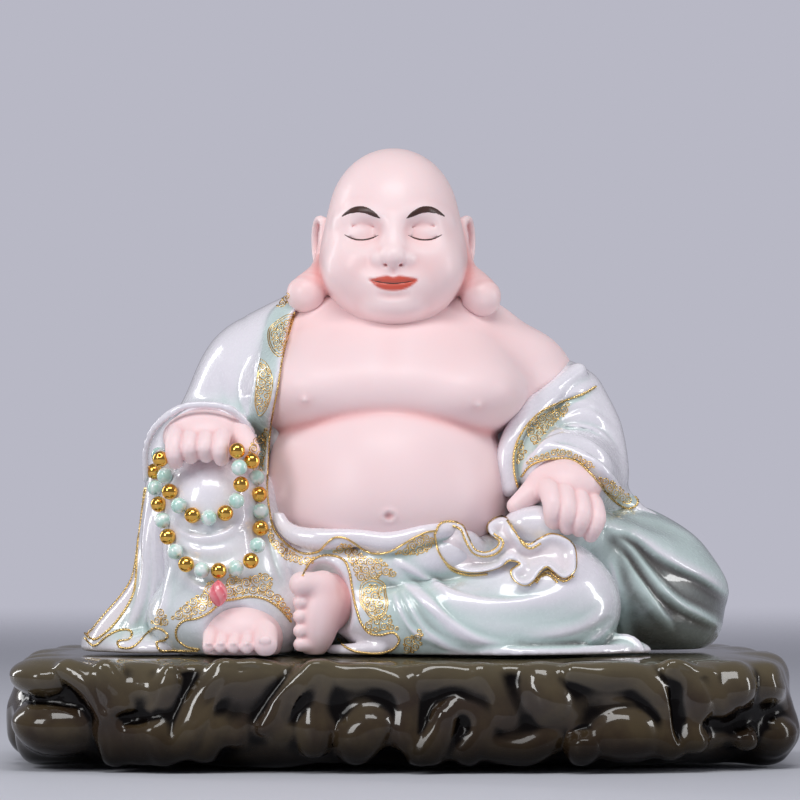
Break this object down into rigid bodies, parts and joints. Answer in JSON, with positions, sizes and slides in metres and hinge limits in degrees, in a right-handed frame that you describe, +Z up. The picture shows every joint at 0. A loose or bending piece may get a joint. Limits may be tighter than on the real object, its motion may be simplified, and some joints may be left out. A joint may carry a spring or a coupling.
{
  "type": "budai figure",
  "caption": "Glazed porcelain seated monk with bare belly, loose robe, sack and hanging prayer beads, on a dark glazed rock base.",
  "frame": {"origin": "middle of the rock base's flat underside, under the middle of the whole object", "axes": "+X along the rock's length, to the right as seen from the front; +Y to the back, so the figure faces -Y; +Z up"},
  "size_m": [0.39, 0.236, 0.3048],
  "materials": {
    "porcelain": "high-gloss glaze, pale pink flesh and white to celadon robe with gold lines",
    "rock_glaze": "dark olive-brown to black glaze, very glossy",
    "gold": "polished gold plating",
    "jade": "pale green, polished",
    "coral": "coral pink with pale streaks, polished"
  },
  "bodies": {
    "root": {"gold_bead_02": "gold", "gold_bead_04": "gold", "gold_bead_06": "gold", "gold_bead_08": "gold", "gold_bead_10": "gold", "gold_bead_12": "gold", "gold_bead_14": "gold", "gold_bead_16": "gold", "gold_bead_18": "gold", "gold_bead_19": "gold", "gold_bead_21": "gold", "gold_bead_23": "gold", "gold_bead_25": "gold", "gold_bead_27": "gold", "gold_bead_29": "gold", "jade_bead_01": "jade", "jade_bead_03": "jade", "jade_bead_05": "jade", "jade_bead_07": "jade", "jade_bead_09": "jade", "jade_bead_11": "jade", "jade_bead_13": "jade", "jade_bead_15": "jade", "jade_bead_17": "jade", "jade_bead_20": "jade", "jade_bead_22": "jade", "jade_bead_24": "jade", "jade_bead_26": "jade", "jade_bead_28": "jade", "lotus_pendant": "coral", "monk_figure": "porcelain", "rock_base": "rock_glaze"}
  },
  "joints": []
}
